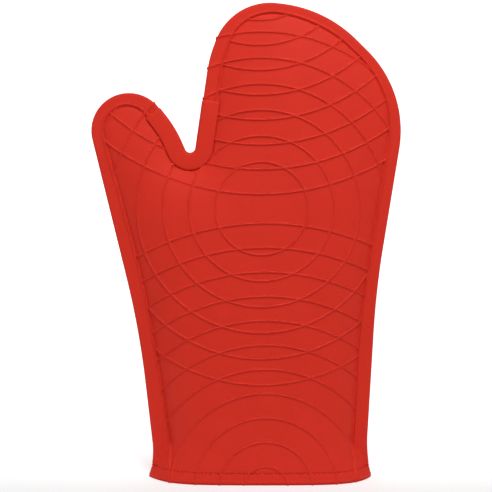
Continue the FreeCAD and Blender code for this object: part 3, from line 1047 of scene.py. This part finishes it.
def seam_tape_part(name, spans):
    """The tape that lies flat over the linings' seam, along these spans of the edge."""
    places, faces = [], []
    for start, end in spans:
        lengths = spaced(start, end, 2.0)
        rings = []
        for place in lengths:
            near = tape_line([place])[0]
            far, narrow = near + TAPE_THICK, TAPE_HALF - 0.2
            rings.append(np.array([(near, -TAPE_HALF), (near, TAPE_HALF),
                                   (far, narrow), (far, -narrow)]))
        ring_places, ring_faces = sweep(lengths, rings)
        begin = sum(map(len, places))
        places.append(ring_places)
        faces += [[v + begin for v in face] for face in ring_faces]
    return make_mesh(name, np.vstack(places), faces)


tape_left, tape_right = fold_crossings(tape_line)
seam_main = seam_tape_part("seam_tape_strip", [(TAPE_FOOT, tape_left),
                                               (tape_right, LENGTHS[-1] - TAPE_FOOT)])
dress(seam_main, TAPE)
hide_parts("seam_tape_hand", "seam_tape_fingers")
bend_fingers(seam_main)
seam_thumb = seam_tape_part("seam_tape_thumb_strip", [(tape_left, tape_right)])
dress(seam_thumb, TAPE)
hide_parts("seam_tape_thumb")
bend_thumb(seam_thumb)


def cuff_binding(name):
    """The tape bound round the inside of the mouth, over the linings' lower edges."""
    share = (1 - np.cos(np.linspace(0, math.pi, BINDING_COLUMNS))) / 2
    lengths = np.arange(0, 60, 0.5)
    left_line = on_edge(lengths, lining_inset(lengths))
    back_lengths = LENGTHS[-1] - lengths
    right_line = on_edge(back_lengths, lining_inset(back_lengths))
    shells = []
    for thick in (0.0, TAPE_THICK):
        for height in BINDING_LEVELS:
            left = np.interp(height, left_line[:, 1], left_line[:, 0]) + BINDING_SIDE + thick
            right = np.interp(height, right_line[:, 1], right_line[:, 0]) - BINDING_SIDE - thick
            row = np.stack([left + (right - left) * share, np.full(BINDING_COLUMNS, height)], 1)
            inset, length = edge_place(row)
            deep = lining_face(row, inset - lining_inset(length))
            soft = 0.3 if height in (BINDING_LEVELS[0], BINDING_LEVELS[-1]) else 0.0
            deep = deep - LINING_THICK - BINDING_GAP - (thick - soft if thick else soft)
            deep = np.maximum(deep, 0.05)
            deep[0] = deep[-1] = 0
            palm = np.stack([row[:, 0], -deep, row[:, 1]], 1)
            back = (palm * np.array([1, -1, 1]))[::-1][1:-1]
            shells.append(np.vstack([palm, back]))
    count, rows = len(shells[0]), len(BINDING_LEVELS)
    outer, inward = [], []
    for level in range(rows - 1):
        outer += belt(level * count, (level + 1) * count, count)
        inward += belt((rows + level) * count, (rows + level + 1) * count, count)
    inward += belt(0, rows * count, count)
    top = belt((rows - 1) * count, (2 * rows - 1) * count, count)
    faces = outer + [face[::-1] for face in inward] + top
    return make_mesh(name, np.vstack(shells), faces)


binding = cuff_binding("cuff_binding")
dress(binding, TAPE)
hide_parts("cuff_tape")
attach(binding, "hand")


# ---------------------------------------------------------------- stage, light, camera

# Lengths from here on are metres.
GLOW_REACH = 0.5
GLOW_SHARES = (0.1, 0.47, 0.62)  # of the way from GLOW_REACH before the mitt to as far behind it


def stage_plane(name, places, glows):
    """A pale plane that glows, with a strength for each of GLOW_SHARES. The glow is painted light:
    it fades the floor into white behind the mitt and paints over the shadows cast there.
    """
    mesh = bpy.data.meshes.new(name)
    mesh.from_pydata(places, [], [(0, 1, 2, 3)])
    shape = bpy.data.objects.new(name, mesh)
    bpy.context.scene.collection.objects.link(shape)
    material, nodes, links, shader, where = new_material(name)
    shader.inputs["Base Color"].default_value = (0.5, 0.5, 0.5, 1)
    shader.inputs["Roughness"].default_value = 1.0
    shader.inputs["Specular IOR Level"].default_value = 0.0
    shader.inputs["Emission Color"].default_value = (1, 1, 1, 1)
    split = nodes.new("ShaderNodeSeparateXYZ")
    links.new(where, split.inputs[0])
    along = ranged(nodes, links, split.outputs["Y"], 0, 1)
    along.node.inputs["From Min"].default_value = -GLOW_REACH
    along.node.inputs["From Max"].default_value = GLOW_REACH
    ramp = nodes.new("ShaderNodeValToRGB")
    links.new(along, ramp.inputs["Fac"])
    ramp.color_ramp.elements.new(0.5)
    for stop, share, glow in zip(ramp.color_ramp.elements, GLOW_SHARES, glows):
        stop.position = share
        stop.color = (glow, glow, glow, 1)
    links.new(ramp.outputs["Color"], shader.inputs["Emission Strength"])
    mesh.materials.append(material)


# The floor's glow is painted light: dim just before the mitt and full behind it, where it paints
# over the mitt's cast shadows. The backdrop glows evenly.
stage_plane("floor", [(-4, -4, 0), (4, -4, 0), (4, 4, 0), (-4, 4, 0)], (0.12, 0.5, 1.0))
stage_plane("backdrop", [(-4, 3.9, 0), (4, 3.9, 0), (4, 3.9, 4), (-4, 3.9, 4)], (1.0, 1.0, 1.0))


TARGET = (0.0, 0.0, 0.1584)
ELEVATION = math.radians(0.4)
DISTANCE = 0.61
VIEW_WIDTH = 0.338  # of the frame, at the target
SENSOR = 36  # mm
WORLD_LIGHT = 0.17


def area_light(name, place, size, power):
    light = bpy.data.lights.new(name, "AREA")
    light.shape = "DISK"
    light.size = size
    light.energy = power
    lamp = bpy.data.objects.new(name, light)
    lamp.location = place
    lamp.rotation_euler = (Vector(TARGET) - Vector(place)).to_track_quat("-Z", "Y").to_euler()
    bpy.context.scene.collection.objects.link(lamp)


area_light("key", (0.10, -0.59, 0.96), 0.24, 7.0)
area_light("left", (-1.1, -0.55, 0.75), 1.0, 2.5)
area_light("right", (1.1, -0.55, 0.75), 1.0, 2.2)

world = bpy.data.worlds.new("studio")
world.use_nodes = True
background = world.node_tree.nodes["Background"]
background.inputs["Color"].default_value = (1, 1, 1, 1)
background.inputs["Strength"].default_value = WORLD_LIGHT
bpy.context.scene.world = world
bpy.context.scene.view_settings.view_transform = "Standard"

camera_data = bpy.data.cameras.new("camera")
camera_data.lens = SENSOR * DISTANCE / VIEW_WIDTH
camera_data.sensor_width = SENSOR
camera_data.dof.use_dof = False
camera = bpy.data.objects.new("camera", camera_data)
camera.location = (TARGET[0], -DISTANCE * math.cos(ELEVATION),
                   TARGET[2] + DISTANCE * math.sin(ELEVATION))
aim = Vector(TARGET) - camera.location
camera.rotation_euler = aim.to_track_quat("-Z", "Y").to_euler()
bpy.context.scene.collection.objects.link(camera)
bpy.context.scene.camera = camera
